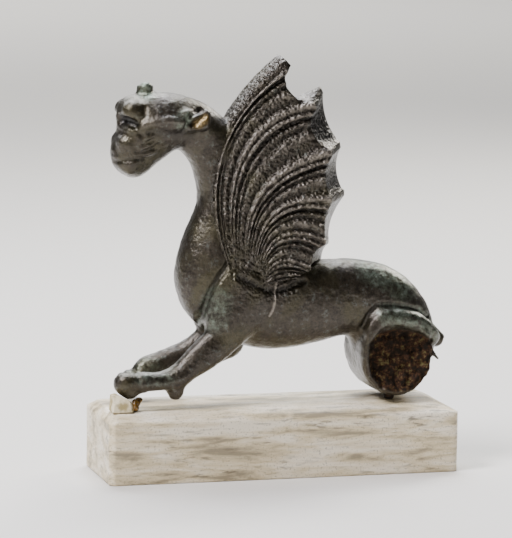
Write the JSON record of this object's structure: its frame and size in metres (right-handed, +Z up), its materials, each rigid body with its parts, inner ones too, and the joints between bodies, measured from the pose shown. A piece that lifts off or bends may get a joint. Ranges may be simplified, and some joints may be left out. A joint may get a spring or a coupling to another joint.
{
  "type": "chimera statue on a stone plinth",
  "caption": "Cast bronze winged chimera with outstretched forelegs, its hindquarters broken off, mounted on an oblong bevelled stone plinth.",
  "frame": {"origin": "centre of the plinth's underside, on the surface it stands on", "axes": "+Z up, X along the plinth with the beast's head towards -X and its rump towards +X, and -Y towards the side that the picture shows"},
  "size_m": [0.1505, 0.047, 0.1736],
  "materials": {
    "bronze": "dark patinated cast bronze, pitted",
    "marble": "honed cream stone with grey-brown veins",
    "limestone": "broken face",
    "resin": "amber adhesive",
    "steel": "dark, rusted"
  },
  "bodies": {
    "root": {"figure": "bronze", "plinth": "marble", "support_stone": "limestone", "adhesive_bead": "resin", "mounting_pin": "steel"}
  },
  "joints": []
}
